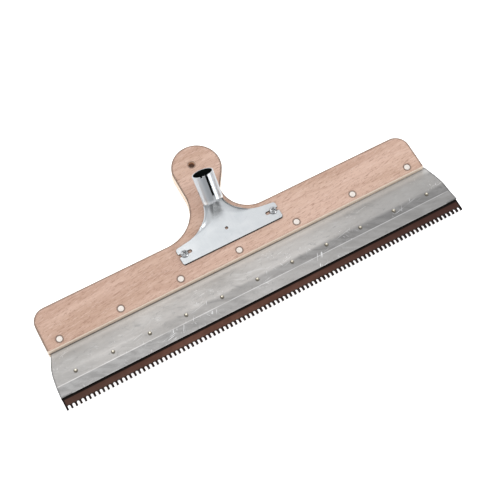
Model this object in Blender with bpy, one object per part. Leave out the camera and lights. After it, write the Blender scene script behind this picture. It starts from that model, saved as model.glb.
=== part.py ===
"""Notched rubber trowel: plywood board with an upright grip, a riveted two-sheet blade that
clamps a toothed rubber strip, and a screwed-on steel socket for a pole.
Metres. +X runs along the blade, +Y from the teeth towards the grip, +Z out of the front face.
The tool lies on its back: the board's back face is z = 0."""
import math

import bmesh
import bpy
from mathutils import Matrix, Vector

MM = 0.001
GAP = 0.3                    # clearance left between pieces that touch

# frame: Y of the board frame that becomes the middle of the whole tool
Y_MIDDLE = 49.8

# board and grip, one piece of plywood
BOARD_T = 18.0
BOARD_HALF = 269.9
BOARD_Y0, BOARD_Y1 = 1.9, 58.4
BOARD_CORNER_R = 19.0
BOARD_FOOT_R = 1.5
ARRIS = 0.9                  # eased edges of the plywood
NECK_LEFT_X, NECK_LEFT_R = -25.7, 52.0
NECK_RIGHT_X, NECK_RIGHT_R = 19.6, 38.0
HEAD_X, HEAD_Y, HEAD_R = 7.2, 141.3, 33.1
NECK_RIGHT_FOOT_Y = 101.0    # where the right flank starts to lean out to the head
HANG_X, HANG_Y, HANG_D = 3.1, 147.5, 8.2

# slot in the lower edge of the board that takes both blade sheets
SLOT_Z = 9.0
SHEET_T = 1.0
SLOT_TOP_Y = 26.0
SHEET_TOP_Y = 24.8

# blade sheets: centre line of the clamped strip and how far each sheet stands from it
STRIP_Z = 18.4
STRIP_T = 3.0
CREASE_1_Y, CREASE_2_Y, LIP_Y = -31.0, -44.3, -59.5
LIP_FLARE = 1.5              # how far the lip leans off the strip
SLOT_LEAD = 2.2              # how far the sheets run straight out of the slot before the first bend
BEND_REACH = 1.2             # how far a bend reaches to each side of its corner
# the ends of both sheets sweep outwards; the left and right cuts differ a little near the board
END_Y = (24.8, 7.0, 4.0, 1.9, -1.0, -6.0, -10.0, -15.0, -20.0, -25.0, -31.0, -38.0, -46.0, -59.5)
LEFT_X = (267.0, 267.2, 267.4, 267.8, 268.7, 270.7, 272.3, 274.3, 275.9, 277.1, 278.2, 279.1, 280.0, 280.6)
RIGHT_X = (269.2, 269.4, 272.2, 273.6, 274.6, 275.3, 275.9, 276.7, 277.3, 277.7, 278.1, 278.7, 279.4, 280.4)

# toothed rubber strip
TOOTH_PITCH = 6.0
TOOTH_COUNT = 94
TOOTH_W = 2.6
TOOTH_DEPTH = 5.6
STRIP_TOP_Y = -32.8
TOOTH_ROOT_Y = -69.2
STRIP_SHOULDER_Y, STRIP_TRIM = -56.0, 3.4   # the clamped part is cut narrower than the free part
ROOT_SEGMENTS = 6

# rivets through board and blade (flush heads both sides)
BOARD_RIVETS = 7
BOARD_RIVET_PITCH = 83.33
BOARD_RIVET_Y = 11.5
BOARD_RIVET_HEAD_D, BOARD_RIVET_HEAD_H = 7.6, 1.6
BOARD_RIVET_D = 4.6
BOARD_RIVET_PROUD = 0.25

# rivets through blade and strip
STRIP_RIVETS = 11
STRIP_RIVET_PITCH = 50.0
STRIP_RIVET_Y = -35.3
STRIP_RIVET_D = 2.4
STRIP_RIVET_HEAD_D, STRIP_RIVET_HEAD_H = 4.3, 1.4

# pole socket, pressed from one steel sheet
SOCKET_T = 1.5
PLATE_HALF, PLATE_Y0, PLATE_Y1 = 71.5, 25.7, 52.0
TAB_SLOPE = 3.1              # the tabs' upper edge falls this much towards their ends
TAB_SLOT_X, TAB_SLOT_W = 55.5, 4.8   # slots open at the tab ends; centre of the round inner end
PLATE_CORNER_R = 2.5
PLATE_INNER_HALF = 50.0
SOCKET_TILT = 45.0
TUBE_R0, TUBE_R1 = 12.9, 13.5    # middle of the wall, lower end and mouth
TUBE_FOOT_Y, TUBE_FOOT_Z = 82.0, 15.5
TUBE_LENGTH = 39.6
SLIT_HALF = 1.45
WING_RISE = 5.0              # how much higher the rolled edge starts at the slit
NECK_Y = 82.0                # where the plate's own rise ends and it starts to bend into the tube
# between the tabs and the neck: height on the plate, half width, how high its edges curl up
NECK_TAPER = ((52.0, 50.0, 0.0), (53.2, 45.5, 0.0), (54.8, 41.0, 0.0), (56.8, 37.0, 0.4),
              (59.0, 32.5, 1.8), (62.0, 27.0, 4.0), (66.0, 22.0, 5.2), (70.0, 18.7, 5.8),
              (74.0, 16.2, 6.4), (78.0, 14.3, 7.4), (82.0, 13.3, 9.4))
CURL_START_Y, CURL_FLAT = 56.0, 0.72     # the flat middle shrinks from this share of the width to none
MIDDLE_COLS, TAB_COLS, WING_COLS = 14, 4, 12     # quads across each half of the middle, tab and wing
CENTRE_HOLE_Y, CENTRE_HOLE_D = 45.6, 4.4
SIDE_HOLE_S, SIDE_HOLE_D = 17.0, 4.0
NOTCH_ANGLE, NOTCH_W, NOTCH_DEPTH = 27.0, 2.4, 2.0

# screws that hold the socket
SCREW_X, SCREW_Y = 64.0, 38.9
SCREW_D, SCREW_LENGTH = 4.0, 13.0
SCREW_HEAD_D, SCREW_HEAD_H = 10.4, 3.1
RECESS_W, RECESS_L, RECESS_DEPTH = 1.3, 5.6, 1.7

ROUND = 24                   # segments of a small round
FINE_ROUND = 40
TINY_ROUND = 16
THROUGH = (-5.0, 30.0)       # z range of a cutter that passes right through board or blade


def material(name, colour, metallic, roughness):
    mat = bpy.data.materials.new(name)
    mat.use_nodes = True
    shader = mat.node_tree.nodes["Principled BSDF"]
    shader.inputs["Base Color"].default_value = (*colour, 1.0)
    shader.inputs["Metallic"].default_value = metallic
    shader.inputs["Roughness"].default_value = roughness
    mat.diffuse_color = (*colour, 1.0)
    return mat


def mesh_object(name, bm, mat=None):
    bmesh.ops.recalc_face_normals(bm, faces=bm.faces[:])
    mesh = bpy.data.meshes.new(name)
    bm.to_mesh(mesh)
    bm.free()
    obj = bpy.data.objects.new(name, mesh)
    bpy.context.scene.collection.objects.link(obj)
    if mat:
        mesh.materials.append(mat)
    return obj


def cut(obj, cutter):
    """Subtracts the cutter and removes it."""
    cutter.hide_render = True
    cutter.display_type = 'WIRE'
    mod = obj.modifiers.new("cut", 'BOOLEAN')
    mod.operation = 'DIFFERENCE'
    mod.solver = 'EXACT'
    mod.object = cutter
    graph = bpy.context.evaluated_depsgraph_get()
    result = bpy.data.meshes.new_from_object(obj.evaluated_get(graph))
    obj.modifiers.remove(mod)
    obj.data = result
    bpy.data.objects.remove(cutter, do_unlink=True)


def revolve(name, profile, centre, mat=None, segments=ROUND, turn=None):
    """Closed solid turned about Z from (radius, height) points; end radii of 0 close it."""
    bm = bmesh.new()
    rings = []
    for r, z in profile:
        if r == 0:
            rings.append([bm.verts.new((0, 0, z * MM))])
            continue
        step = math.tau / segments
        rings.append([bm.verts.new((r * math.cos(i * step) * MM, r * math.sin(i * step) * MM, z * MM))
                      for i in range(segments)])
    for a, b in zip(rings, rings[1:]):
        for i in range(segments):
            j = (i + 1) % segments
            if len(a) == 1:
                bm.faces.new((a[0], b[i], b[j]))
            elif len(b) == 1:
                bm.faces.new((a[i], a[j], b[0]))
            else:
                bm.faces.new((a[i], a[j], b[j], b[i]))
    place = Matrix.Translation(Vector(centre) * MM)
    bmesh.ops.transform(bm, matrix=place @ turn if turn else place, verts=bm.verts[:])
    return mesh_object(name, bm, mat)


def cylinder(x, y, z0, z1, diameter, segments=ROUND):
    r = diameter / 2
    return revolve("cutter", [(0, z0), (r, z0), (r, z1), (0, z1)], (x, y, 0), None, segments)


def prism(name, outline, z0, z1, mat=None, ease=0.0):
    """Extrudes an anticlockwise outline; ease is the width of a chamfer on both faces."""
    n = len(outline)
    inset = []
    for i in range(n):
        ax, ay = outline[i - 1]
        bx, by = outline[i]
        cx, cy = outline[(i + 1) % n]
        first = Vector((bx - ax, by - ay)).normalized()
        second = Vector((cx - bx, cy - by)).normalized()
        bisect = Vector((-first.y - second.y, first.x + second.x))
        scale = ease / max(0.35, bisect.length / 2)
        bisect.normalize()
        inset.append((bx + bisect.x * scale, by + bisect.y * scale))
    levels = [(outline, z0), (outline, z1)]
    if ease:
        levels = [(inset, z0), (outline, z0 + ease), (outline, z1 - ease), (inset, z1)]
    bm = bmesh.new()
    rings = [[bm.verts.new((x * MM, y * MM, z * MM)) for x, y in ring] for ring, z in levels]
    bm.faces.new(rings[0][::-1])
    bm.faces.new(rings[-1])
    for a, b in zip(rings, rings[1:]):
        for i in range(n):
            j = (i + 1) % n
            bm.faces.new((a[i], a[j], b[j], b[i]))
    return mesh_object(name, bm, mat)


def box(x0, x1, y0, y1, z0, z1):
    return prism("cutter", [(x0, y0), (x1, y0), (x1, y1), (x0, y1)], z0, z1)


def arc(cx, cy, r, a0, a1, steps):
    return [(cx + r * math.cos(math.radians(a0 + (a1 - a0) * i / steps)),
             cy + r * math.sin(math.radians(a0 + (a1 - a0) * i / steps))) for i in range(steps + 1)]


def board_outline():
    """Board rectangle with round upper corners; the grip grows out of its top edge."""
    w, y0, y1, r = BOARD_HALF, BOARD_Y0, BOARD_Y1, BOARD_CORNER_R
    pts = arc(-w + BOARD_FOOT_R, y0 + BOARD_FOOT_R, BOARD_FOOT_R, 180, 270, 3)
    pts += arc(w - BOARD_FOOT_R, y0 + BOARD_FOOT_R, BOARD_FOOT_R, 270, 360, 3)
    pts += arc(w - r, y1 - r, r, 0, 90, 10)
    right_cx, right_cy = NECK_RIGHT_X + NECK_RIGHT_R, y1 + NECK_RIGHT_R
    pts += arc(right_cx, right_cy, NECK_RIGHT_R, 270, 180, 14)
    # right flank: a soft bend, then a straight line that touches the head circle
    flank = (NECK_RIGHT_X + 0.4, NECK_RIGHT_FOOT_Y)
    dx, dy = flank[0] - HEAD_X, flank[1] - HEAD_Y
    away = math.hypot(dx, dy)
    touch = math.degrees(math.acos(HEAD_R / away)) + math.degrees(math.atan2(dy, dx))
    pts.append(flank)
    pts += arc(HEAD_X, HEAD_Y, HEAD_R, touch, 180, 34)
    left_cx, left_cy = NECK_LEFT_X - NECK_LEFT_R, y1 + NECK_LEFT_R
    pts += arc(left_cx, left_cy, NECK_LEFT_R, 0, -90, 16)
    pts += arc(-w + r, y1 - r, r, 90, 180, 10)
    return pts


def thicken(name, verts, quads, thickness, mat):
    """Gives a sheet of quads an even thickness and closes its rim."""
    normals = [Vector() for _ in verts]
    for quad in quads:
        a, b, c, d = (verts[i] for i in quad)
        face_normal = (c - a).cross(d - b).normalized()
        for i in quad:
            normals[i] += face_normal
    bm = bmesh.new()
    half = thickness / 2
    upper = [bm.verts.new((v + n.normalized() * half) * MM) for v, n in zip(verts, normals)]
    lower = [bm.verts.new((v - n.normalized() * half) * MM) for v, n in zip(verts, normals)]
    edges = {}
    for quad in quads:
        bm.faces.new([upper[i] for i in quad])
        bm.faces.new([lower[i] for i in reversed(quad)])
        for i, j in zip(quad, quad[1:] + quad[:1]):
            edges[(i, j)] = (j, i) not in edges
            if (j, i) in edges:
                edges[(j, i)] = False
    for (i, j), rim in edges.items():
        if rim:
            bm.faces.new((upper[j], upper[i], lower[i], lower[j]))
    return mesh_object(name, bm, mat)


def blade_end(y, table):
    """Distance of a sheet's end from the middle at height y."""
    for ya, yb, xa, xb in zip(END_Y, END_Y[1:], table, table[1:]):
        if y >= yb - 1e-9:
            return xa + (xb - xa) * (y - ya) / (yb - ya)
    return table[-1]


def blade_sheet(name, side, mat):
    """side +1 is the front sheet, -1 the back one; both crank forward to the strip."""
    in_slot = SLOT_Z + side * (GAP + SHEET_T) / 2
    at_strip = STRIP_Z + side * (STRIP_T / 2 + GAP + SHEET_T / 2)
    at_lip = at_strip + side * LIP_FLARE
    corners = [(SHEET_TOP_Y, in_slot), (BOARD_Y0 - SLOT_LEAD, in_slot), (CREASE_1_Y, at_strip),
               (CREASE_2_Y, at_strip), (LIP_Y, at_lip)]
    line = [corners[0]]
    for before, here, after in zip(corners, corners[1:], corners[2:]):
        a = Vector(before) - Vector(here)
        b = Vector(after) - Vector(here)
        start = Vector(here) + a.normalized() * BEND_REACH
        end = Vector(here) + b.normalized() * BEND_REACH
        for t in (0.0, 0.5, 1.0):
            line.append(tuple(start * (1 - t) ** 2 + Vector(here) * 2 * t * (1 - t) + end * t * t))
    line.append(corners[-1])
    stations = set(END_Y) | {y for y, _ in line}
    rows = []
    for y in sorted(stations, reverse=True):
        if y > line[0][0] or y < line[-1][0]:
            continue
        for (ya, za), (yb, zb) in zip(line, line[1:]):
            if ya >= y >= yb:
                rows.append((y, za + (zb - za) * (y - ya) / (yb - ya)))
                break
    verts, quads = [], []
    for y, z in rows:
        verts += [Vector((-blade_end(y, LEFT_X), y, z)), Vector((blade_end(y, RIGHT_X), y, z))]
    for i in range(len(rows) - 1):
        quads.append((2 * i, 2 * i + 2, 2 * i + 3, 2 * i + 1))
    obj = thicken(name, verts, quads, SHEET_T, mat)
    for x in rivet_row(BOARD_RIVETS, BOARD_RIVET_PITCH):
        cut(obj, cylinder(x, BOARD_RIVET_Y, *THROUGH, BOARD_RIVET_D + 2 * GAP))
    for x in rivet_row(STRIP_RIVETS, STRIP_RIVET_PITCH):
        cut(obj, cylinder(x, STRIP_RIVET_Y, *THROUGH, STRIP_RIVET_D + 2 * GAP, TINY_ROUND))
    return obj


def rivet_row(count, pitch):
    return [(i - (count - 1) / 2) * pitch for i in range(count)]


def toothed_strip(mat):
    half = (TOOTH_COUNT - 1) * TOOTH_PITCH / 2 + TOOTH_W / 2
    tip = TOOTH_ROOT_Y - TOOTH_DEPTH
    gap_r = (TOOTH_PITCH - TOOTH_W) / 2
    pts = [(-half, tip)]
    for i in range(TOOTH_COUNT - 1):
        centre = -half + TOOTH_W / 2 + (i + 0.5) * TOOTH_PITCH
        pts.append((centre - gap_r, tip))
        pts += arc(centre, TOOTH_ROOT_Y - gap_r, gap_r, 180, 0, ROOT_SEGMENTS)
        pts.append((centre + gap_r, tip))
    narrow = half - STRIP_TRIM
    pts += [(half, tip), (half, STRIP_SHOULDER_Y), (narrow, STRIP_TOP_Y), (-narrow, STRIP_TOP_Y),
            (-half, STRIP_SHOULDER_Y)]
    obj = prism("toothed_rubber_strip", pts, STRIP_Z - STRIP_T / 2, STRIP_Z + STRIP_T / 2, mat)
    for x in rivet_row(STRIP_RIVETS, STRIP_RIVET_PITCH):
        cut(obj, cylinder(x, STRIP_RIVET_Y, *THROUGH, STRIP_RIVET_D + 2 * GAP, TINY_ROUND))
    return obj


class SheetRows:
    """Middle surface of a pressed sheet: rows of points, numbered by column from the middle."""

    def __init__(self):
        self.points, self.index, self.reach = [], {}, []

    def add(self, column, point):
        self.index[len(self.reach), column] = len(self.points)
        self.points.append(Vector(point))

    def end_row(self, reach):
        """Closes a row that runs from column -reach to reach."""
        self.reach.append(reach)

    def arc_row(self, spine, normal, radius, half_angle):
        """Points of the middle columns on an arc that bulges away from normal."""
        for c in range(-MIDDLE_COLS, MIDDLE_COLS + 1):
            b = c / MIDDLE_COLS * half_angle
            across = Vector((radius * math.sin(b), 0, 0))
            self.add(c, spine + across + normal * radius * (1 - math.cos(b)))

    def straight_row(self, spine, width):
        for c in range(-MIDDLE_COLS, MIDDLE_COLS + 1):
            self.add(c, spine + Vector((c / MIDDLE_COLS * width, 0, 0)))

    def quads(self):
        made = []
        for r in range(len(self.reach) - 1):
            reach = min(self.reach[r], self.reach[r + 1])
            made += [tuple(self.index[key] for key in ((r, c), (r, c + 1), (r + 1, c + 1), (r + 1, c)))
                     for c in range(-reach, reach)]
        return made


def plate_edge(y):
    """Half width and edge height of the socket plate above its end tabs."""
    for (ya, wa, ha), (yb, wb, hb) in zip(NECK_TAPER, NECK_TAPER[1:]):
        if y <= yb:
            t = (y - ya) / (yb - ya)
            return wa + (wb - wa) * t, ha + (hb - ha) * t
    return NECK_TAPER[-1][1:]


def add_tab_rows(rows, plate_z):
    """Flat plate with a tab at each end, corners rounded."""
    edge = 0.7
    levels = [PLATE_Y0, PLATE_Y0 + edge, PLATE_Y0 + PLATE_CORNER_R, PLATE_Y1 - PLATE_CORNER_R,
              PLATE_Y1 - edge, PLATE_Y1]
    insets = [PLATE_CORNER_R, 0.8, 0.0, 0.0, 0.8, PLATE_CORNER_R]
    for y, inset in zip(levels, insets):
        rows.straight_row(Vector((0, y, plate_z)), PLATE_INNER_HALF)
        for side in (-1, 1):
            for k in range(1, TAB_COLS + 1):
                x = PLATE_INNER_HALF + (PLATE_HALF - inset - PLATE_INNER_HALF) * k / TAB_COLS
                fall = TAB_SLOPE * (x - PLATE_INNER_HALF) / (PLATE_HALF - PLATE_INNER_HALF)
                lower = fall * (y - PLATE_Y0) / (PLATE_Y1 - PLATE_Y0)
                rows.add(side * (MIDDLE_COLS + k), (side * x, y - lower, plate_z))
        rows.end_row(MIDDLE_COLS + TAB_COLS)


def add_taper_rows(rows, plate_z):
    """The plate narrows towards the tube while its edges curl up off the board."""
    levels = (53.2, 54.8, 56.8, 59.0, 60.5, 62.0, *range(64, int(NECK_Y) + 1, 2))
    for y in levels:
        width, height = plate_edge(y)
        spine = Vector((0, y, plate_z))
        if height < 1e-6:
            rows.straight_row(spine, width)
            rows.end_row(MIDDLE_COLS)
            continue
        flat = max(0.0, 1 - (y - CURL_START_Y) / (NECK_Y - CURL_START_Y)) * width * CURL_FLAT
        curl = width - flat
        radius = (curl ** 2 + height ** 2) / (2 * height)
        turn = math.asin(min(1.0, curl / radius))
        if height > radius:
            turn = math.pi - turn
        for c in range(-MIDDLE_COLS, MIDDLE_COLS + 1):
            d = abs(c) / MIDDLE_COLS * (flat + radius * turn)
            sign = 1 if c >= 0 else -1
            b = max(0.0, d - flat) / radius
            x = min(d, flat) + radius * math.sin(b)
            rows.add(c, spine + Vector((sign * x, 0, radius * (1 - math.cos(b)))))
        rows.end_row(MIDDLE_COLS)


def add_bend_rows(rows, plate_z, foot, out):
    """The curled neck bends up into the back half of the tube."""
    tilt = math.radians(SOCKET_TILT)
    width, height = plate_edge(NECK_Y)
    start_radius = (width ** 2 + height ** 2) / (2 * height)
    start_angle = math.asin(min(1.0, width / start_radius))
    back = foot - out * TUBE_R0
    knee = Vector((0, NECK_Y, plate_z))
    corner = Vector((0, back.y - (back.z - plate_z) / math.tan(tilt), plate_z))
    for t in (0.2, 0.4, 0.6, 0.8):
        spine = knee * (1 - t) ** 2 + corner * 2 * t * (1 - t) + back * t * t
        normal = Vector((0, -math.sin(tilt * t), math.cos(tilt * t)))
        radius = start_radius + (TUBE_R0 - start_radius) * t
        rows.arc_row(spine, normal, radius, start_angle + (math.pi / 2 - start_angle) * t)
        rows.end_row(MIDDLE_COLS)


def add_tube_rows(rows, foot, along, out):
    """Slightly flared tube whose two rolled wings meet at an open slit in front."""
    steps = 2
    for i in range(steps + 1):
        t = i / steps
        radius = TUBE_R0 + (TUBE_R1 - TUBE_R0) * t
        spine = foot + along * TUBE_LENGTH * t - out * radius
        rows.arc_row(spine, out, radius, math.pi / 2)
        for k in range(1, WING_COLS + 1):
            edge = math.pi - math.asin(SLIT_HALF / radius)
            b = math.pi / 2 + (edge - math.pi / 2) * k / WING_COLS
            start = WING_RISE * (k / WING_COLS) ** 1.4
            s = start + (TUBE_LENGTH - start) * t
            r = TUBE_R0 + (TUBE_R1 - TUBE_R0) * s / TUBE_LENGTH
            middle = foot + along * s - out * r * math.cos(b)
            for side in (-1, 1):
                rows.add(side * (MIDDLE_COLS + k), middle + Vector((side * r * math.sin(b), 0, 0)))
        rows.end_row(MIDDLE_COLS + WING_COLS)


def cut_tube_openings(obj, foot, along, out):
    """Small round hole in the tube's -X side and a notch in its mouth."""
    to_left = Matrix.Rotation(math.radians(-90), 4, 'Y')
    near, far, r = 5, 25, SIDE_HOLE_D / 2
    profile = [(0, near), (r, near), (r, far), (0, far)]
    cut(obj, revolve("cutter", profile, foot + along * SIDE_HOLE_S, None, TINY_ROUND, to_left))
    mouth = foot + along * TUBE_LENGTH
    notch = bmesh.new()
    bmesh.ops.create_cube(notch, size=1.0)
    turn = math.radians(NOTCH_ANGLE)
    axis = (out * math.cos(turn) + Vector((-1, 0, 0)) * math.sin(turn)).normalized()
    side = along.cross(axis).normalized()
    frame = Matrix((side * NOTCH_W, axis * 8.0, along * NOTCH_DEPTH * 2)).transposed().to_4x4()
    place = Matrix.Translation((mouth + axis * TUBE_R1) * MM) @ Matrix.Scale(MM, 4) @ frame
    bmesh.ops.transform(notch, matrix=place, verts=notch.verts[:])
    cut(obj, mesh_object("cutter", notch))


def socket_bracket(mat):
    plate_z = BOARD_T + GAP + SOCKET_T / 2
    tilt = math.radians(SOCKET_TILT)
    along = Vector((0, math.cos(tilt), math.sin(tilt)))
    out = Vector((0, -math.sin(tilt), math.cos(tilt)))
    foot = Vector((0, TUBE_FOOT_Y, TUBE_FOOT_Z + BOARD_T))
    rows = SheetRows()
    add_tab_rows(rows, plate_z)
    add_taper_rows(rows, plate_z)
    add_bend_rows(rows, plate_z, foot, out)
    add_tube_rows(rows, foot, along, out)
    obj = thicken("socket_bracket", rows.points, rows.quads(), SOCKET_T, mat)
    slot_r = TAB_SLOT_W / 2
    for side in (-1, 1):
        slot = [(side * (TAB_SLOT_X + x), SCREW_Y + y) for x, y in arc(0, 0, slot_r, 270, 90, 10)]
        slot += [(side * (PLATE_HALF + 5), SCREW_Y + slot_r), (side * (PLATE_HALF + 5), SCREW_Y - slot_r)]
        cut(obj, prism("cutter", slot[::-side], *THROUGH))
    cut(obj, cylinder(0, CENTRE_HOLE_Y, *THROUGH, CENTRE_HOLE_D))
    cut_tube_openings(obj, foot, along, out)
    return obj


def screw(name, x, mat):
    """Pan head wood screw with a cross recess and a pointed shank."""
    base = BOARD_T + GAP + SOCKET_T + GAP
    head_r, shank_r = SCREW_HEAD_D / 2, SCREW_D / 2
    profile = [(0, base - SCREW_LENGTH), (shank_r * 0.55, base - SCREW_LENGTH + 2.2),
               (shank_r, base - SCREW_LENGTH + 4.5), (shank_r, base), (head_r * 0.97, base),
               (head_r, base + 0.5), (head_r * 0.93, base + 1.3), (head_r * 0.72, base + 2.2),
               (head_r * 0.4, base + 2.75), (0, base + SCREW_HEAD_H)]
    obj = revolve(name, profile, (x, SCREW_Y, 0), mat)
    top = base + SCREW_HEAD_H
    wide, long = RECESS_W / 2, RECESS_L / 2
    cross = [(wide, wide), (long, wide), (long, -wide), (wide, -wide), (wide, -long), (-wide, -long),
             (-wide, -wide), (-long, -wide), (-long, wide), (-wide, wide), (-wide, long), (wide, long)]
    turn = math.radians(24 if x < 0 else 62)
    turned = [(x + a * math.cos(turn) - b * math.sin(turn), SCREW_Y + a * math.sin(turn) + b * math.cos(turn))
              for a, b in reversed(cross)]
    cut(obj, prism("cutter", turned, top - RECESS_DEPTH, top + 2))
    return obj


def handle_board(mat):
    obj = prism("handle_board", board_outline(), 0, BOARD_T, mat, ARRIS)
    slot_half = SHEET_T + GAP * 1.5
    cut(obj, box(-300, 300, -10, SLOT_TOP_Y, SLOT_Z - slot_half, SLOT_Z + slot_half))
    cut(obj, cylinder(HANG_X, HANG_Y, -2, BOARD_T + 2, HANG_D, FINE_ROUND))
    depth = BOARD_RIVET_HEAD_H - BOARD_RIVET_PROUD + GAP
    wide, narrow = BOARD_RIVET_HEAD_D / 2 + GAP, BOARD_RIVET_D / 2 + GAP
    bore = [(0, -2), (wide, -2), (wide, depth), (narrow, depth), (narrow, BOARD_T - depth),
            (wide, BOARD_T - depth), (wide, BOARD_T + 2), (0, BOARD_T + 2)]
    for x in rivet_row(BOARD_RIVETS, BOARD_RIVET_PITCH):
        cut(obj, revolve("cutter", bore, (x, BOARD_RIVET_Y, 0)))
    for x in (-SCREW_X, SCREW_X):
        cut(obj, cylinder(x, SCREW_Y, BOARD_T - SCREW_LENGTH, BOARD_T + 2, SCREW_D + 2 * GAP))
    return obj


def board_rivet(name, x, mat):
    low, high = 0.0, BOARD_T + BOARD_RIVET_PROUD
    head, shank = BOARD_RIVET_HEAD_D / 2, BOARD_RIVET_D / 2
    h = BOARD_RIVET_HEAD_H
    under = low + h - BOARD_RIVET_PROUD
    profile = [(0, low), (head - 0.5, low), (head, low + 0.3), (head, under), (shank, under),
               (shank, high - h), (head, high - h), (head, high - 0.3), (head - 0.5, high), (0, high)]
    return revolve(name, profile, (x, BOARD_RIVET_Y, 0), mat)


def strip_rivet(name, x, mat):
    half_stack = STRIP_T / 2 + 2 * GAP + SHEET_T
    low, high = STRIP_Z - half_stack, STRIP_Z + half_stack
    head, shank, h = STRIP_RIVET_HEAD_D / 2, STRIP_RIVET_D / 2, STRIP_RIVET_HEAD_H
    profile = [(0, low - h * 0.7), (head * 0.6, low - h * 0.6), (head * 0.92, low - h * 0.25),
               (head * 0.92, low), (shank, low), (shank, high), (head, high),
               (head * 0.95, high + h * 0.4), (head * 0.7, high + h * 0.8), (0, high + h)]
    return revolve(name, profile, (x, STRIP_RIVET_Y, 0), mat, TINY_ROUND)


def build():
    for obj in list(bpy.data.objects):
        bpy.data.objects.remove(obj, do_unlink=True)
    plywood = material("plywood", (0.62, 0.42, 0.31), 0.0, 0.6)
    zinc = material("galvanised_sheet", (0.55, 0.55, 0.54), 0.9, 0.42)
    zinc_bright = material("bright_zinc_steel", (0.74, 0.76, 0.79), 0.95, 0.3)
    rubber = material("brown_rubber", (0.07, 0.035, 0.03), 0.0, 0.75)
    alloy = material("aluminium_rivet", (0.85, 0.84, 0.83), 0.6, 0.45)
    brass = material("brass_rivet", (0.68, 0.5, 0.25), 0.9, 0.4)
    steel = material("zinc_screw", (0.7, 0.71, 0.73), 0.95, 0.3)
    made = [handle_board(plywood), blade_sheet("blade_sheet_front", 1, zinc),
            blade_sheet("blade_sheet_back", -1, zinc), toothed_strip(rubber), socket_bracket(zinc_bright)]
    made += [board_rivet(f"board_rivet_{i + 1}", x, alloy)
             for i, x in enumerate(rivet_row(BOARD_RIVETS, BOARD_RIVET_PITCH))]
    made += [strip_rivet(f"strip_rivet_{i + 1}", x, brass)
             for i, x in enumerate(rivet_row(STRIP_RIVETS, STRIP_RIVET_PITCH))]
    made += [screw("socket_screw_left", -SCREW_X, steel), screw("socket_screw_right", SCREW_X, steel)]
    for obj in made:
        obj.data.transform(Matrix.Translation((0, -Y_MIDDLE * MM, 0)))


build()
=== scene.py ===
import math

import bpy
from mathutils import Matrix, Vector


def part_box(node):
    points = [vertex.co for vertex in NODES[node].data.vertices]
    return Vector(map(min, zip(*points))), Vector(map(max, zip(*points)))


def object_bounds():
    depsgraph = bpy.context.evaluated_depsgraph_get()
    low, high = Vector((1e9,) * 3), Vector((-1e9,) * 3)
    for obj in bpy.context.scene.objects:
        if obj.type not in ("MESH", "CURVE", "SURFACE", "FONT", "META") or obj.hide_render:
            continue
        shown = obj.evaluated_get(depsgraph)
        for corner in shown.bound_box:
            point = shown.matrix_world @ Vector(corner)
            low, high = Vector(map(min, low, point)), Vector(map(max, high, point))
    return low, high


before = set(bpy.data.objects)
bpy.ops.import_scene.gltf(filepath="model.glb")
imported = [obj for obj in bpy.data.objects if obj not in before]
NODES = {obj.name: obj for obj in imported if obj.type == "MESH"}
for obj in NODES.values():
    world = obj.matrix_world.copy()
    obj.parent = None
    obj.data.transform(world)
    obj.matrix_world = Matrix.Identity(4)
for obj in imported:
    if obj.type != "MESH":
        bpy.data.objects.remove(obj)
CAD_LO, CAD_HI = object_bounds()

# ---------------------------------------------------------------- places on the tool, in metres
MM = 0.001
BOARD_LO, BOARD_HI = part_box("handle_board")
STRIP_LO, STRIP_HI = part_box("toothed_rubber_strip")
BRACKET_LO, BRACKET_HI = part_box("socket_bracket")
LIP_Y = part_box("blade_sheet_front")[0].y  # free edge of the sheets
CREASE_1_Y, CREASE_2_Y = LIP_Y + 28.5 * MM, LIP_Y + 15.2 * MM
BOARD_FOOT_Y = BOARD_LO.y                 # lower edge of the plywood
PLATE_FRONT_Z = BOARD_HI.z + 2.0 * MM     # front of the bracket's flat plate
PLY_COUNT = 9
RIVET_PITCH, RIVET_Y = 83.33 * MM, BOARD_FOOT_Y + 9.6 * MM        # board rivets
PIN_PITCH, PIN_Y = 50.0 * MM, LIP_Y + 24.2 * MM                   # small rivets through the strip
PIN_RADIUS = 1.6 * MM
HANGING_HOLE = Vector((3.1 * MM, BOARD_FOOT_Y + 145.6 * MM, 0.0))
TUBE_FOOT = Vector((0.0, 32.2 * MM, 33.5 * MM))                   # a point on the socket's axis
TUBE_AXIS = Vector((0.0, 1.0, 1.0)).normalized()
SHEET_END_X = 264 * MM                    # from here out, edges are the sheets' ends

# ---------------------------------------------------------------- shading and studio
SMOOTH_ANGLE = math.radians(50)           # sharper edges stay hard
WELD_REACH = 0.002 * MM
AROUND_SAMPLES = 6                        # rays per look at the surroundings of a point
ROOM_LIGHT = 0.92
ROOM_COLOUR = (0.97, 0.98, 1.0, 1.0)
LENS, SENSOR = 85.3413, 36.0              # camera, in millimetres
CAMERA_PLACE, CAMERA_TURN = (-0.3072, -0.5586, 1.3886), (0.4150, -0.0228, -0.5038)
NEAR, FAR = 0.05, 20.0
FLOOR_HALF, FLOOR_GAP = 6.0, 0.05 * MM

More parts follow.
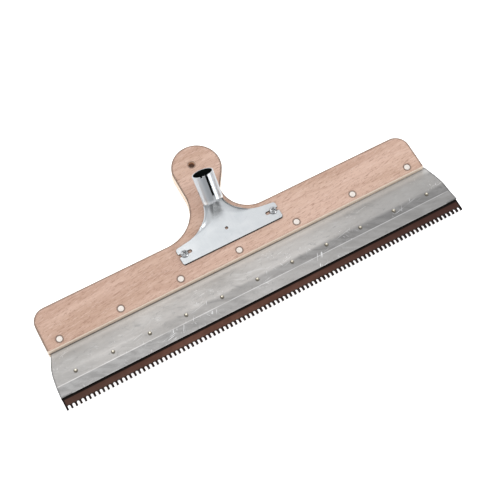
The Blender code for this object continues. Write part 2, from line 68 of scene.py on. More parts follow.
# ---------------------------------------------------------------- colours, linear RGB
WOOD = {  # veneer and plies of the board
    "figure_dark": (0.545, 0.352, 0.268),
    "figure_light": (0.690, 0.478, 0.380),
    "cloud": (0.555, 0.370, 0.268),
    "stripe_dark": (0.370, 0.205, 0.150),
    "stripe_pale": (0.700, 0.515, 0.425),
    "pore": (0.290, 0.150, 0.105),
    "fibre_pale": (0.740, 0.545, 0.455),
    # painted shade round the board rivets
    "pressed": (0.190, 0.125, 0.100),
    "ply_along": (0.830, 0.700, 0.570),
    "ply_across": (0.700, 0.560, 0.440),
    "end_grain": (0.560, 0.410, 0.300),
    "glue": (0.330, 0.220, 0.160),
    # painted shade on the board's rim
    "shaded_rim": (0.120, 0.078, 0.058),
    # painted highlight on the lower arris
    "foot_arris_highlight": (0.860, 0.740, 0.610),
    # painted shade in corners
    "crevice_shade": (0.110, 0.062, 0.040),
    "plate_shade": (0.040, 0.030, 0.026),
    # painted shade deep in the hanging hole
    "bore_deep_shade": (0.330, 0.170, 0.095),
    "bore_mouth": (0.720, 0.440, 0.260),
}
SHEET = {  # zinc-coated sheet of the blade
    "cloud_dark": (0.425, 0.403, 0.382),
    "cloud_light": (0.555, 0.530, 0.505),
    "crystal": (0.420, 0.425, 0.430),
    "rolled": (0.430, 0.430, 0.425),
    "smear_light": (0.660, 0.650, 0.635),
    "smear_dark": (0.285, 0.280, 0.275),
    "rubbed_dark": (0.215, 0.215, 0.215),
    "rubbed_light": (0.640, 0.635, 0.625),
    # painted shade towards the sheet's ends
    "toward_ends_shade": (0.300, 0.294, 0.285),
    # painted light on the sheet next to the board
    "painted_light_colour": (0.800, 0.785, 0.760),
    "painted_light_colour_ends": (0.560, 0.550, 0.535),
    "band_dark": (0.180, 0.176, 0.174),
    "band_light": (0.255, 0.250, 0.247),
    "lip_dark": (0.215, 0.212, 0.210),
    "lip_light": (0.300, 0.297, 0.295),
    "scratch": (0.880, 0.880, 0.880),
    # painted highlight along the lower crease and edges, with edge wear
    "bend": (0.820, 0.810, 0.805),
    # painted shade on the cut edges
    "cut": (0.022, 0.022, 0.022),
    # painted shadow below the board's edge
    "root": (0.075, 0.065, 0.055),
    # painted shadow round the small rivets
    "pin_shadow": (0.120, 0.105, 0.080),
    # painted shade in corners
    "crevice_shade": (0.110, 0.095, 0.080),
}
SOCKET = {  # zinc-plated pole socket
    "cloud_dark": (0.575, 0.600, 0.617),
    "cloud_light": (0.665, 0.682, 0.692),
    "drawn": (0.470, 0.495, 0.520),
    "scratch": (0.400, 0.420, 0.440),
    "rim": (0.800, 0.810, 0.815),
    # painted shade in corners
    "crevice_shade": (0.110, 0.118, 0.120),
    "tube": (0.405, 0.428, 0.450),
    # painted shade inside the tube and along edges
    "bore_and_edge_shade": (0.016, 0.022, 0.021),
}
RUBBER = {  # toothed strip
    "mottle_dark": (0.098, 0.043, 0.028),
    "mottle_light": (0.140, 0.064, 0.044),
    "streak": (0.175, 0.092, 0.070),
    "left": (0.070, 0.035, 0.026),
    # painted shade towards the right end
    "right": (0.045, 0.018, 0.014),
    "teeth": (0.010, 0.005, 0.004),
    "edge": (0.240, 0.150, 0.125),
    # painted shade on the side faces
    "side_face_shade": (0.012, 0.007, 0.006),
    "under_lip_shadow": (0.006, 0.004, 0.003),
    "end": (0.010, 0.006, 0.005),
}
METAL = {  # rivets and screws
    "aluminium": (0.880, 0.805, 0.740),
    "aluminium_dark": (0.760, 0.690, 0.630),
    "brass": (0.950, 0.895, 0.770),
    "brass_dark": (0.740, 0.665, 0.520),
    "screw": (0.620, 0.630, 0.640),
    "screw_dark": (0.250, 0.260, 0.270),
    # painted shade on the rivet heads
    "pin_ring_shade": (0.100, 0.080, 0.055),
    # painted shade in hollows
    "crevice_shade": (0.035, 0.032, 0.028),
}


# ---------------------------------------------------------------- material nodes
def opaque(value):
    """Adds an alpha of 1 to a colour of three numbers."""
    return (*value, 1.0) if isinstance(value, tuple) and len(value) == 3 else value


class Shade:
    """One Principled material, written as small expressions of node outputs."""

    def __init__(self, name):
        self.mat = bpy.data.materials.new(name)
        self.mat.use_nodes = True
        self.tree = self.mat.node_tree
        self.tree.nodes.clear()
        out = self.tree.nodes.new("ShaderNodeOutputMaterial")
        self.bsdf = self.tree.nodes.new("ShaderNodeBsdfPrincipled")
        self.tree.links.new(self.bsdf.outputs[0], out.inputs["Surface"])
        self.place = self.tree.nodes.new("ShaderNodeTexCoord").outputs["Object"]
        split = self.node("ShaderNodeSeparateXYZ", {0: self.place})
        self.x, self.y, self.z = split.outputs
        self.geometry = self.tree.nodes.new("ShaderNodeNewGeometry")

    def node(self, kind, inputs=(), **settings):
        made = self.tree.nodes.new(kind)
        for key, value in settings.items():
            setattr(made, key, value)
        for key, value in dict(inputs).items():
            self.put(made.inputs[key], value)
        return made

    def put(self, socket, value):
        if isinstance(value, bpy.types.NodeSocket):
            self.tree.links.new(value, socket)
        else:
            socket.default_value = value

    def set(self, **values):
        for key, value in values.items():
            self.put(self.bsdf.inputs[key.replace("_", " ")], opaque(value))

    def calc(self, op, a, b=0.0, c=0.0):
        return self.node("ShaderNodeMath", {0: a, 1: b, 2: c}, operation=op).outputs[0]

    def most(self, first, *others):
        """The largest of some masks."""
        for other in others:
            first = self.calc("MAXIMUM", first, other)
        return first

    def times(self, first, *others):
        """The product of some masks or numbers."""
        for other in others:
            first = self.calc("MULTIPLY", first, other)
        return first

    def size(self, value):
        """The value without its sign."""
        return self.calc("ABSOLUTE", value)

    def from_point(self, dx, dy):
        """Distance over the board's plane from two offsets."""
        return self.calc("SQRT", self.calc("MULTIPLY_ADD", dx, dx, self.times(dy, dy)))

    def ramp(self, value, low, high, to_low=0.0, to_high=1.0):
        """Smooth step from to_low at low to to_high at high."""
        made = self.node("ShaderNodeMapRange", {0: value, 1: low, 2: high, 3: to_low, 4: to_high},
                         interpolation_type="SMOOTHSTEP")
        return made.outputs[0]

    def band(self, value, centre, half, soft):
        """1 within half of centre, falling to 0 over soft."""
        away = self.size(self.calc("SUBTRACT", value, centre))
        return self.ramp(away, half, half + soft, 1.0, 0.0)

    def mapped(self, scale, turn=(0, 0, 0), move=(0, 0, 0), source=None):
        made = self.node("ShaderNodeMapping", {"Vector": source or self.place, "Location": move,
                                               "Rotation": turn, "Scale": scale})
        return made.outputs[0]

    def noise(self, scale, detail=2.0, rough=0.5, distortion=0.0, turn=(0, 0, 0), move=(0, 0, 0),
              source=None):
        turned = self.mapped((1, 1, 1), turn, move, source) if any(turn) else source
        vector = self.mapped(scale, (0, 0, 0), (0, 0, 0) if any(turn) else move, turned)
        made = self.node("ShaderNodeTexNoise", {"Vector": vector, "Scale": 1.0, "Detail": detail,
                                                "Roughness": rough, "Distortion": distortion})
        return made.outputs["Fac"]

    def cells(self, scale):
        """A random colour for each cell."""
        made = self.node("ShaderNodeTexVoronoi", {"Vector": self.mapped(scale), "Scale": 1.0})
        return made.outputs["Color"]

    def mix(self, fac, a, b):
        """Colour a where fac is 0, b where it is 1."""
        made = self.node("ShaderNodeMix", data_type="RGBA")
        for index, value in ((0, fac), (6, a), (7, b)):
            self.put(made.inputs[index], opaque(value))
        return made.outputs[2]

    def scratches(self, angle, length, width, amount, seed):
        """Thin straight lines, angle degrees from X, about length by width apart, in metres."""
        fine = self.noise((1 / length, 1 / width, 1 / width), detail=0.0,
                          turn=(0, 0, math.radians(-angle)), move=(seed, seed * 1.7, 0))
        return self.ramp(fine, 1 - amount, 1 - amount + 0.05)

    def ring(self, pitch, y0, radius, half, soft, shift=(0.0, 0.0)):
        """A ring round every place on a row along X, pitch apart, one of them at x = 0."""
        dx = self.calc("SUBTRACT", self.x, shift[0])
        dx = self.calc("SUBTRACT", dx, self.calc("SNAP", self.calc("ADD", dx, pitch / 2), pitch))
        dy = self.calc("SUBTRACT", self.y, y0 + shift[1])
        return self.band(self.from_point(dx, dy), radius, half, soft)

    def facing(self, axis):
        """How much the surface faces along an axis (0, 1 or 2), from -1 to 1."""
        normal = self.geometry.outputs["True Normal"]
        return self.node("ShaderNodeSeparateXYZ", {0: normal}).outputs[axis]

    def level(self):
        """1 on faces parallel to the board's faces, 0 on walls square to them."""
        return self.size(self.facing(2))

    def vector(self, op, a, b=(0.0, 0.0, 0.0)):
        return self.node("ShaderNodeVectorMath", {0: a, 1: b}, operation=op).outputs

    def hollow(self, reach):
        """1 in the open, towards 0 in corners and recesses closer than reach."""
        made = self.node("ShaderNodeAmbientOcclusion", {"Distance": reach}, samples=AROUND_SAMPLES)
        return made.outputs["AO"]

    def bump(self, height, distance, strength=1.0, over=None):
        inputs = {"Height": height, "Distance": distance, "Strength": strength}
        if over is not None:
            inputs["Normal"] = over
        return self.node("ShaderNodeBump", inputs).outputs["Normal"]

    def edge(self, radius, keen=0.90, flat=0.997):
        """1 along edges within radius, else 0. Higher keen and flat take in blunter edges."""
        rounded = self.node("ShaderNodeBevel", {"Radius": radius}, samples=AROUND_SAMPLES).outputs["Normal"]
        turn = self.vector("DOT_PRODUCT", rounded, self.geometry.outputs["Normal"])["Value"]
        return self.ramp(turn, keen, flat, 1.0, 0.0)


def plywood():
    """Plywood: pinkish veneer with fine pores along X, cream plies on the edges, a rim darkened as painted
    shade, a painted highlight on the lower arris, and painted shade in corners, round the rivets, under the
    socket plate and deeper in the hanging hole.
    """
    s = Shade("plywood_veneer")
    warp = s.noise((5, 12, 12), detail=2)
    y_warped = s.calc("MULTIPLY_ADD", s.calc("SUBTRACT", warp, 0.5), 0.055, s.y)
    bent = s.node("ShaderNodeCombineXYZ", {0: s.x, 1: y_warped, 2: s.z}).outputs[0]
    figure = s.noise((3.5, 60, 20), detail=3, rough=0.6, source=bent)
    stripe = s.noise((12, 520, 60), detail=4, rough=0.7, source=bent, move=(3, 1, 0))
    fibre = s.noise((90, 620, 300), detail=3, rough=0.65, turn=(0, 0, math.radians(-9)))
    fleck = s.noise((230, 760, 300), detail=2, rough=0.6, turn=(0, 0, math.radians(-14)),
                    move=(5, 2, 0))
    cloud = s.noise((9, 22, 22), detail=3, move=(1, 4, 2))
    tone = s.mix(s.ramp(figure, 0.34, 0.66), WOOD["figure_dark"], WOOD["figure_light"])
    tone = s.mix(s.ramp(cloud, 0.35, 0.7, 0.0, 0.45), tone, WOOD["cloud"])
    tone = s.mix(s.ramp(stripe, 0.52, 0.74, 0.0, 0.45), tone, WOOD["stripe_dark"])
    tone = s.mix(s.ramp(stripe, 0.28, 0.46, 0.50, 0.0), tone, WOOD["stripe_pale"])
    pores = s.most(s.ramp(fibre, 0.56, 0.68), s.ramp(fleck, 0.58, 0.70, 0.0, 0.9))
    tone = s.mix(s.times(pores, 0.55), tone, WOOD["pore"])
    tone = s.mix(s.ramp(fibre, 0.32, 0.44, 0.60, 0.0), tone, WOOD["fibre_pale"])
    # painted shade: a dark ring on the wood round each board rivet head
    pressed = s.ring(RIVET_PITCH, RIVET_Y, 4.5 * MM, 0.3 * MM, 0.6 * MM)
    tone = s.mix(s.times(pressed, 0.28), tone, WOOD["pressed"])

    # edges: plies across the thickness, with dark glue lines
    pitch = (BOARD_HI.z - BOARD_LO.z) / PLY_COUNT
    wander = s.times(s.calc("SUBTRACT", s.noise((40, 40, 40), detail=2), 0.5), 0.5 * MM)
    depth = s.calc("DIVIDE", s.calc("ADD", s.calc("SUBTRACT", s.z, BOARD_LO.z), wander), pitch)
    cross = s.ramp(s.calc("PINGPONG", depth, 1.0), 0.42, 0.58)
    glue = s.ramp(s.calc("PINGPONG", s.calc("ADD", depth, 0.5), 0.5), 0.43, 0.49)
    grain = s.noise((260, 260, 700), detail=3, rough=0.65)
    layers = s.mix(cross, WOOD["ply_along"], WOOD["ply_across"])
    layers = s.mix(s.ramp(grain, 0.45, 0.75, 0.0, 0.5), layers, WOOD["end_grain"])
    layers = s.mix(s.times(glue, 0.35), layers, WOOD["glue"])
    level = s.level()
    face = s.ramp(level, 0.75, 0.90)
    colour = s.mix(face, layers, tone)
    # painted shade: the arrises and the face edges darkened, except along the lower edge
    foot = s.ramp(s.y, BOARD_FOOT_Y + 1.5 * MM, BOARD_FOOT_Y + 2.5 * MM, 1.0, 0.0)
    arris = s.times(s.ramp(level, 0.3, 0.5), s.ramp(level, 0.8, 0.95, 1.0, 0.0))
    rim = s.most(arris, s.times(s.edge(3.4 * MM, 0.985, 0.9997), face))
    shaded_rim = s.times(rim, s.calc("SUBTRACT", 1.0, foot))
    colour = s.mix(s.times(shaded_rim, 0.85), colour, WOOD["shaded_rim"])
    # painted highlight: the lower arris in light cream
    colour = s.mix(s.times(arris, foot), colour, WOOD["foot_arris_highlight"])
    # painted shade in corners and beside raised parts
    crevice_shade = s.most(s.ramp(s.hollow(2.2 * MM), 0.45, 0.80, 0.95, 0.0),
                   s.ramp(s.hollow(9 * MM), 0.25, 0.72, 0.50, 0.0))
    colour = s.mix(crevice_shade, colour, WOOD["crevice_shade"])
    below_plate = s.times(s.band(s.y, BRACKET_LO.y, 0.9 * MM, 0.5 * MM),
                          s.ramp(s.size(s.x), BRACKET_HI.x - 2 * MM, BRACKET_HI.x, 0.90, 0.0))
    colour = s.mix(below_plate, colour, WOOD["plate_shade"])
    # painted shade: the hanging hole's wall darker deeper in
    dx, dy = s.calc("SUBTRACT", s.x, HANGING_HOLE.x), s.calc("SUBTRACT", s.y, HANGING_HOLE.y)
    bored = s.times(s.ramp(s.from_point(dx, dy), 4.3 * MM, 4.8 * MM, 1.0, 0.0),
                    s.ramp(level, 0.10, 0.25, 1.0, 0.0))
    colour = s.mix(bored, colour, s.mix(s.ramp(s.z, BOARD_HI.z - 7 * MM, BOARD_HI.z - 1 * MM),
                                        WOOD["bore_deep_shade"], WOOD["bore_mouth"]))
    height = s.calc("ADD", s.times(pores, -1.0), s.times(stripe, 0.5))
    s.set(Base_Color=colour, Roughness=s.ramp(fibre, 0.3, 0.7, 0.50, 0.68),
          Specular_IOR_Level=0.35, Normal=s.bump(height, 0.12 * MM, 0.55))
    return s.mat


def galvanised():
    """Rolled zinc-coated sheet: lines along X, matt clouds, scuffs, a painted highlight with edge wear
    along the lower crease and the edges, near-black cut edges with painted shade, painted light next to the
    board with a thin painted shadow under its edge, and painted shade in the pressed band, towards the
    ends, round the small rivets and in corners.
    """
    s = Shade("galvanised_sheet_worn")
    rolled = s.noise((5, 1500, 300), detail=3, rough=0.6)
    cloud = s.noise((11, 34, 34), detail=4, rough=0.6, distortion=0.4)
    smear = s.noise((26, 85, 40), detail=4, rough=0.65, distortion=1.2,
                    turn=(0, 0, math.radians(24)))
    mottled = s.ramp(smear, 0.38, 0.62)
    patch = s.node("ShaderNodeSeparateColor", {0: s.cells((120, 170, 120))}).outputs[0]
    tone = s.mix(s.ramp(cloud, 0.3, 0.7), SHEET["cloud_dark"], SHEET["cloud_light"])
    tone = s.mix(s.ramp(patch, 0.0, 1.0, 0.0, 0.10), tone, SHEET["crystal"])
    tone = s.mix(s.ramp(rolled, 0.5, 0.75, 0.0, 0.30), tone, SHEET["rolled"])
    tone = s.mix(s.ramp(smear, 0.54, 0.70, 0.0, 0.50), tone, SHEET["smear_light"])
    tone = s.mix(s.ramp(smear, 0.28, 0.44, 0.60, 0.0), tone, SHEET["smear_dark"])
    rubbed = s.noise((70, 210, 100), detail=4, rough=0.7, distortion=2.0,
                     turn=(0, 0, math.radians(-16)))
    tone = s.mix(s.ramp(rubbed, 0.56, 0.72, 0.0, 0.62), tone, SHEET["rubbed_dark"])
    tone = s.mix(s.ramp(rubbed, 0.26, 0.40, 0.35, 0.0), tone, SHEET["rubbed_light"])
    # painted shade: the sheet darker towards both ends
    toward_ends_shade = s.ramp(s.size(s.calc("ADD", s.x, 0.04)), 0.07, 0.27, 0.0, 0.58)
    tone = s.mix(toward_ends_shade, tone, SHEET["toward_ends_shade"])
    # painted light: the sheet just below the board is painted lighter, to lift the shade under the board's
    # edge
    near_board_painted_light = s.ramp(s.y, BOARD_FOOT_Y - 11 * MM, BOARD_FOOT_Y - 3 * MM, 0.0, 0.85)
    tone = s.mix(near_board_painted_light, tone, s.mix(toward_ends_shade, SHEET["painted_light_colour"], SHEET["painted_light_colour_ends"]))

    # the pressed band between the creases is painted darker, more so to the right: painted shade where the
    # band tilts away from the light
    band = s.times(s.ramp(s.y, CREASE_1_Y - 4.5 * MM, CREASE_1_Y + 1.5 * MM, 1.0, 0.0),
                   s.ramp(s.y, CREASE_2_Y - 0.8 * MM, CREASE_2_Y + 0.2 * MM))
    band_shade = s.times(band, s.ramp(s.x, -0.20, 0.16, 0.20, 0.80))
    tone = s.mix(band_shade, tone, s.mix(mottled, SHEET["band_dark"], SHEET["band_light"]))
    lip = s.times(s.ramp(s.y, CREASE_2_Y - 0.8 * MM, CREASE_2_Y + 0.2 * MM, 1.0, 0.0),
                  s.ramp(s.x, -0.28, 0.05, 0.90, 0.50))
    tone = s.mix(lip, tone, s.mix(mottled, SHEET["lip_dark"], SHEET["lip_light"]))

    marks = s.most(s.scratches(64, 0.012, 0.0011, 0.25, 1.0), s.scratches(12, 0.030, 0.0009, 0.24, 7.0),
                   s.scratches(118, 0.009, 0.0010, 0.24, 4.0))
    where = s.ramp(s.noise((18, 45, 30), detail=2, move=(8, 2, 0)), 0.50, 0.66)
    marks = s.times(marks, where)
    tone = s.mix(s.times(marks, 0.75), tone, SHEET["scratch"])
    # painted highlight: a light line along the lower crease and, fainter, along the sheet's edges, where
    # there is also edge wear
    bend = s.times(s.band(s.y, CREASE_2_Y, 0.30 * MM, 0.5 * MM),
                   s.ramp(s.noise((30, 30, 30), detail=2), 0.3, 0.6, 0.45, 1.0))
    ends = s.ramp(s.size(s.x), SHEET_END_X, SHEET_END_X + 2.5 * MM)
    rim = s.edge(1.5 * MM, 0.94, 0.998)
    bend = s.most(bend, s.times(rim, 0.6))
    tone = s.mix(s.times(bend, s.ramp(s.x, -0.25, 0.0, 0.34, 0.52)), tone, SHEET["bend"])
    # painted shade: the cut ends and the lip's lower edge painted near black, darker than their uncoated
    # steel
    cut = s.most(s.ramp(s.size(s.facing(0)), 0.4, 0.6, 0.0, 0.9),
                 s.times(s.edge(3.0 * MM, 0.97, 0.9995), ends, 0.85),
                 s.ramp(s.facing(1), -0.90, -0.70, 0.97, 0.0))
    tone = s.mix(cut, tone, SHEET["cut"])
    # painted shadow: a thin dark line on the sheet just below the board's lower edge
    root = s.times(s.ramp(s.y, BOARD_FOOT_Y - 1.7 * MM, BOARD_FOOT_Y - 0.9 * MM),
                   s.ramp(s.x, 0.0, 0.22, 0.75, 0.25))
    tone = s.mix(root, tone, SHEET["root"])
    # painted shadow: a dark ring round each small rivet, set off down and to the left
    pin_ring_shade = s.ring(PIN_PITCH, PIN_Y, 2.2 * MM, 0.3 * MM, 0.4 * MM, (-0.25 * MM, -0.35 * MM))
    tone = s.mix(s.times(pin_ring_shade, 0.75), tone, SHEET["pin_shadow"])
    # painted shade in corners and recesses
    crevice_shade = s.ramp(s.hollow(2.5 * MM), 0.25, 0.70, 0.60, 0.0)
    tone = s.mix(crevice_shade, tone, SHEET["crevice_shade"])
    gloss = s.calc("SUBTRACT", s.ramp(cloud, 0.3, 0.7, 0.50, 0.36), s.times(bend, 0.12))
    height = s.calc("ADD", s.times(rolled, 0.4), s.times(marks, -1.0))
    waves = s.bump(s.noise((14, 26, 14), detail=2), 1.2 * MM, 0.25)
    shine = s.times(s.ramp(near_board_painted_light, 0.0, 0.85, 0.62, 0.20), s.calc("SUBTRACT", 1.0, cut))
    s.set(Base_Color=tone, Metallic=shine, Roughness=gloss, Normal=s.bump(height, 0.05 * MM, 0.5, waves))
    return s.mat


def zinc_plated():
    """Bright zinc-plated pressed steel of the pole socket."""
    s = Shade("bright_zinc_plate")
    cloud = s.noise((30, 38, 38), detail=4, rough=0.55, distortion=0.5)
    drawn = s.noise((700, 25, 25), detail=2, rough=0.6)
    tone = s.mix(s.ramp(cloud, 0.3, 0.7), SOCKET["cloud_dark"], SOCKET["cloud_light"])
    tone = s.mix(s.ramp(drawn, 0.5, 0.8, 0.0, 0.16), tone, SOCKET["drawn"])
    marks = s.most(s.scratches(30, 0.010, 0.0009, 0.23, 3.0),
                   s.scratches(98, 0.012, 0.0009, 0.23, 9.0))
    tone = s.mix(s.times(marks, 0.35), tone, SOCKET["scratch"])
    rim = s.edge(0.7 * MM)
    tone = s.mix(s.times(rim, 0.35), tone, SOCKET["rim"])
    # painted shade in corners and recesses
    crevice_shade = s.ramp(s.hollow(3 * MM), 0.15, 0.62, 0.45, 0.0)
    tone = s.mix(crevice_shade, tone, SOCKET["crevice_shade"])

    # painted shade, near black: inside the tube, along the right wing's edge, and on the sheared edges of
    # the plate, where the steel is also uncoated
    from_foot = s.vector("SUBTRACT", s.place, tuple(TUBE_FOOT))[0]
    across = s.vector("CROSS_PRODUCT", from_foot, tuple(TUBE_AXIS))[0]
    radius = s.vector("LENGTH", across)["Value"]
    along = s.vector("DOT_PRODUCT", from_foot, tuple(TUBE_AXIS))["Value"]
    tube = s.ramp(along, 3 * MM, 7 * MM)
    tone = s.mix(s.times(tube, 0.85), tone, SOCKET["tube"])
    bore = s.times(s.ramp(radius, 12.7 * MM, 13.0 * MM, 1.0, 0.0), s.ramp(along, 0.0, 3 * MM))
    flat = s.ramp(s.z, PLATE_FRONT_Z - 0.2 * MM, PLATE_FRONT_Z + 0.3 * MM, 1.0, 0.0)
    sheared = s.times(flat, s.ramp(s.level(), 0.2, 0.5, 0.85, 0.0))
    right_wing = s.times(s.ramp(s.x, 9 * MM, 13 * MM), s.ramp(s.x, 32 * MM, 42 * MM, 1.0, 0.0),
                         s.ramp(s.y, BRACKET_LO.y + 14 * MM, BRACKET_LO.y + 18 * MM),
                         s.ramp(along, 0.0, 2 * MM, 0.85, 0.0))
    bore_and_edge_shade = s.most(bore, sheared, s.times(right_wing, s.edge(3.0 * MM, 0.97, 0.9995)))
    tone = s.mix(bore_and_edge_shade, tone, SOCKET["bore_and_edge_shade"])
    height = s.calc("SUBTRACT", s.times(drawn, 0.3), marks)
    waves = s.bump(cloud, 0.5 * MM, 0.03)
    gloss = s.calc("MULTIPLY_ADD", tube, 0.04, s.ramp(cloud, 0.3, 0.7, 0.33, 0.28))
    s.set(Base_Color=tone, Metallic=s.ramp(tube, 0.0, 1.0, 0.70, 0.97),
          Roughness=s.most(gloss, s.times(bore_and_edge_shade, 0.6)),
          Normal=s.bump(height, 0.04 * MM, 0.4, waves))
    return s.mat


def rubber():
    """Moulded brown rubber: matt, slightly mottled, darker along the cut teeth; painted shade on the side
    faces, under the lip and towards the right end.
    """
    s = Shade("brown_rubber_moulded")
    mottle = s.noise((60, 90, 90), detail=4, rough=0.6)
    pits = s.noise((900, 900, 900), detail=2)
    streak = s.noise((6, 260, 60), detail=3)
    tone = s.mix(s.ramp(mottle, 0.3, 0.7), RUBBER["mottle_dark"], RUBBER["mottle_light"])
    tone = s.mix(s.ramp(streak, 0.5, 0.75, 0.0, 0.4), tone, RUBBER["streak"])
    left_end = s.ramp(s.x, -0.26, -0.10, 0.75, 0.0)
    tone = s.mix(left_end, tone, RUBBER["left"])
    # painted shade: darker towards the right end
    dark = s.ramp(s.x, -0.10, 0.27, 0.0, 0.85)
    tone = s.mix(dark, tone, RUBBER["right"])
    cut = s.ramp(s.y, STRIP_LO.y + 4.2 * MM, STRIP_LO.y + 6.2 * MM, 0.93, 0.0)
    tone = s.mix(cut, tone, RUBBER["teeth"])
    tone = s.mix(s.times(s.edge(0.35 * MM), 0.15), tone, RUBBER["edge"])
    # painted shade on the faces square to the board: the strip's sides and the teeth's flanks
    side_face_shade = s.ramp(s.level(), 0.3, 0.6, 0.9, 0.0)
    tone = s.mix(side_face_shade, tone, RUBBER["side_face_shade"])
    # painted shadow under the lip of the sheets
    under_lip_shadow = s.ramp(s.y, LIP_Y - 2.9 * MM, LIP_Y - 2.1 * MM, 0.0, 0.97)
    tone = s.mix(under_lip_shadow, tone, RUBBER["under_lip_shadow"])
    ends = s.ramp(s.size(s.x), STRIP_HI.x - 3.0 * MM, STRIP_HI.x - 1.2 * MM, 0.0, 0.95)
    tone = s.mix(ends, tone, RUBBER["end"])
    s.set(Base_Color=tone, Roughness=s.ramp(mottle, 0.3, 0.7, 0.72, 0.60), Specular_IOR_Level=0.12,
          Normal=s.bump(s.calc("ADD", pits, s.times(mottle, 0.5)), 0.08 * MM, 0.6))
    return s.mat


def soft_metal(name, light, dark, metallic, gloss, scale, pin_radius=0.0):
    """Small turned or pressed metal parts: hammered faces, with painted shade in hollows.

    pin_radius is given for the rivets of the strip's row, whose heads get a dark ring of painted shade.
    """
    s = Shade(name)
    dents = s.noise((scale, scale, scale), detail=3, rough=0.6)
    fine = s.noise((scale * 5, scale * 5, scale * 5), detail=2)
    worn = tuple(min(1.0, c * 1.12) for c in light)
    tone = s.mix(s.ramp(dents, 0.3, 0.7), dark, light)
    tone = s.mix(s.times(s.edge(0.3 * MM), 0.4), tone, worn)
    if pin_radius:
        # painted shade: a dark ring on the head, darker on one side
        pin_ring_shade = s.ring(PIN_PITCH, PIN_Y, pin_radius + 1.2 * MM, 1.3 * MM, 0.5 * MM, (0.25 * MM, 0.45 * MM))
        tone = s.mix(s.times(pin_ring_shade, 0.80), tone, METAL["pin_ring_shade"])
    # painted shade in hollows
    crevice_shade = s.ramp(s.hollow(2.0 * MM), 0.30, 0.85, 0.95, 0.0)
    tone = s.mix(crevice_shade, tone, METAL["crevice_shade"])
    height = s.calc("ADD", dents, s.times(fine, 0.25))
    s.set(Base_Color=tone, Metallic=metallic, Roughness=s.ramp(fine, 0.3, 0.7, gloss + 0.08, gloss),
          Normal=s.bump(height, 0.12 * MM, 0.5))
    return s.mat


def dress(node, mat):
    """Gives a CAD node its finish and smooth shading across its small facets."""
    obj = NODES[node]
    mesh = obj.data
    mesh.materials.clear()
    mesh.materials.append(mat)
    for polygon in mesh.polygons:
        polygon.material_index = 0
        polygon.use_smooth = True
    for name in ("custom_normal", "sharp_edge", "sharp_face"):
        if name in mesh.attributes:
            mesh.attributes.remove(mesh.attributes[name])
    obj.modifiers.new("weld", "WELD").merge_threshold = WELD_REACH
    split = obj.modifiers.new("hard_edges", "EDGE_SPLIT")
    split.split_angle = SMOOTH_ANGLE
    split.use_edge_sharp = False
    normals = obj.modifiers.new("even_normals", "WEIGHTED_NORMAL")
    normals.keep_sharp = True


def dress_tool():
    finish = {
        "handle_board": plywood(),
        "toothed_rubber_strip": rubber(),
        "socket_bracket": zinc_plated(),
        "blade_sheet": galvanised(),
        "board_rivet": soft_metal("aluminium_rivet_head", METAL["aluminium"], METAL["aluminium_dark"],
                                  metallic=0.12, gloss=0.42, scale=500),
        "strip_rivet": soft_metal("brass_rivet_head", METAL["brass"], METAL["brass_dark"],
                                  metallic=0.65, gloss=0.24, scale=900, pin_radius=PIN_RADIUS),
        "socket_screw": soft_metal("zinc_screw_head", METAL["screw"], METAL["screw_dark"],
                                   metallic=0.90, gloss=0.16, scale=420),
    }
    for name in sorted(NODES):
        dress(name, next(mat for start, mat in finish.items() if name.startswith(start)))


# ---------------------------------------------------------------- studio
def camera():
    data = bpy.data.cameras.new("camera")
    data.sensor_width = SENSOR
    data.lens = LENS
    data.clip_start, data.clip_end = NEAR, FAR
    obj = bpy.data.objects.new("camera", data)
    obj.location = CAMERA_PLACE
    obj.rotation_euler = CAMERA_TURN
    bpy.context.scene.collection.objects.link(obj)
    bpy.context.scene.camera = obj


def soft_light(name, place, target, size, power, tint=(1, 1, 1)):
    data = bpy.data.lights.new(name, "AREA")
    data.shape = "RECTANGLE"
    data.size, data.size_y = size
    data.energy = power
    data.color = tint
    obj = bpy.data.objects.new(name, data)
    obj.location = place
    obj.rotation_euler = (Vector(target) - Vector(place)).to_track_quat("-Z", "Y").to_euler()
    bpy.context.scene.collection.objects.link(obj)


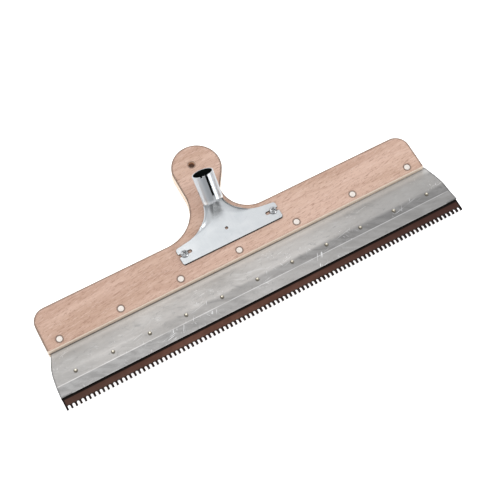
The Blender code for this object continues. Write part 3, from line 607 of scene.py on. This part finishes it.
def floor():
    z = CAD_LO.z - FLOOR_GAP
    corners = [(x * FLOOR_HALF, y * FLOOR_HALF, z) for x, y in ((-1, -1), (1, -1), (1, 1), (-1, 1))]
    mesh = bpy.data.meshes.new("floor")
    mesh.from_pydata(corners, [], [(0, 1, 2, 3)])
    obj = bpy.data.objects.new("floor", mesh)
    bpy.context.scene.collection.objects.link(obj)
    s = Shade("pale_floor")
    s.set(Base_Color=(0.86, 0.86, 0.86), Roughness=0.9, Emission_Color=(1, 1, 1), Emission_Strength=0.70)
    mesh.materials.append(s.mat)


def surroundings():
    """A soft pale room: brighter behind the grip, darker to the right and low down in front."""
    world = bpy.data.worlds.new("studio")
    bpy.context.scene.world = world
    world.use_nodes = True
    tree = world.node_tree
    back = tree.nodes["Background"]

    def node(kind, values, **settings):
        made = tree.nodes.new(kind)
        for key, value in settings.items():
            setattr(made, key, value)
        for key, value in values.items():
            if isinstance(value, bpy.types.NodeSocket):
                tree.links.new(value, made.inputs[key])
            else:
                made.inputs[key].default_value = value
        return made.outputs

    def slope(value, low, high, to_low, to_high):
        return node("ShaderNodeMapRange", {0: value, 1: low, 2: high, 3: to_low, 4: to_high},
                    interpolation_type="SMOOTHSTEP")[0]

    way = tree.nodes.new("ShaderNodeTexCoord").outputs["Generated"]
    x, y, z = node("ShaderNodeSeparateXYZ", {0: way})
    behind = slope(y, 0.35, 0.85, 0.0, 0.22)
    right = slope(x, 0.0, 0.6, 0.0, -0.10)
    front, low = slope(y, -0.95, -0.45, 1.0, 0.0), slope(z, 0.25, 0.65, -0.48, 0.0)
    total = node("ShaderNodeMath", {0: front, 1: low}, operation="MULTIPLY")[0]
    for part in (behind, right, ROOM_LIGHT):
        total = node("ShaderNodeMath", {0: total, 1: part}, operation="ADD")[0]
    tree.links.new(total, back.inputs["Strength"])
    back.inputs["Color"].default_value = ROOM_COLOUR


def studio():
    camera()
    floor()
    surroundings()
    soft_light("key", (-0.55, 1.0, 1.7), (0, 0, 0), (1.8, 1.4), 10.0, (1.0, 0.99, 0.97))
    soft_light("front_right", (1.05, -1.15, 0.38), (0, 0.03, 0.03), (0.5, 0.5), 5.0)
    bpy.context.scene.view_settings.view_transform = "Standard"


dress_tool()
studio()
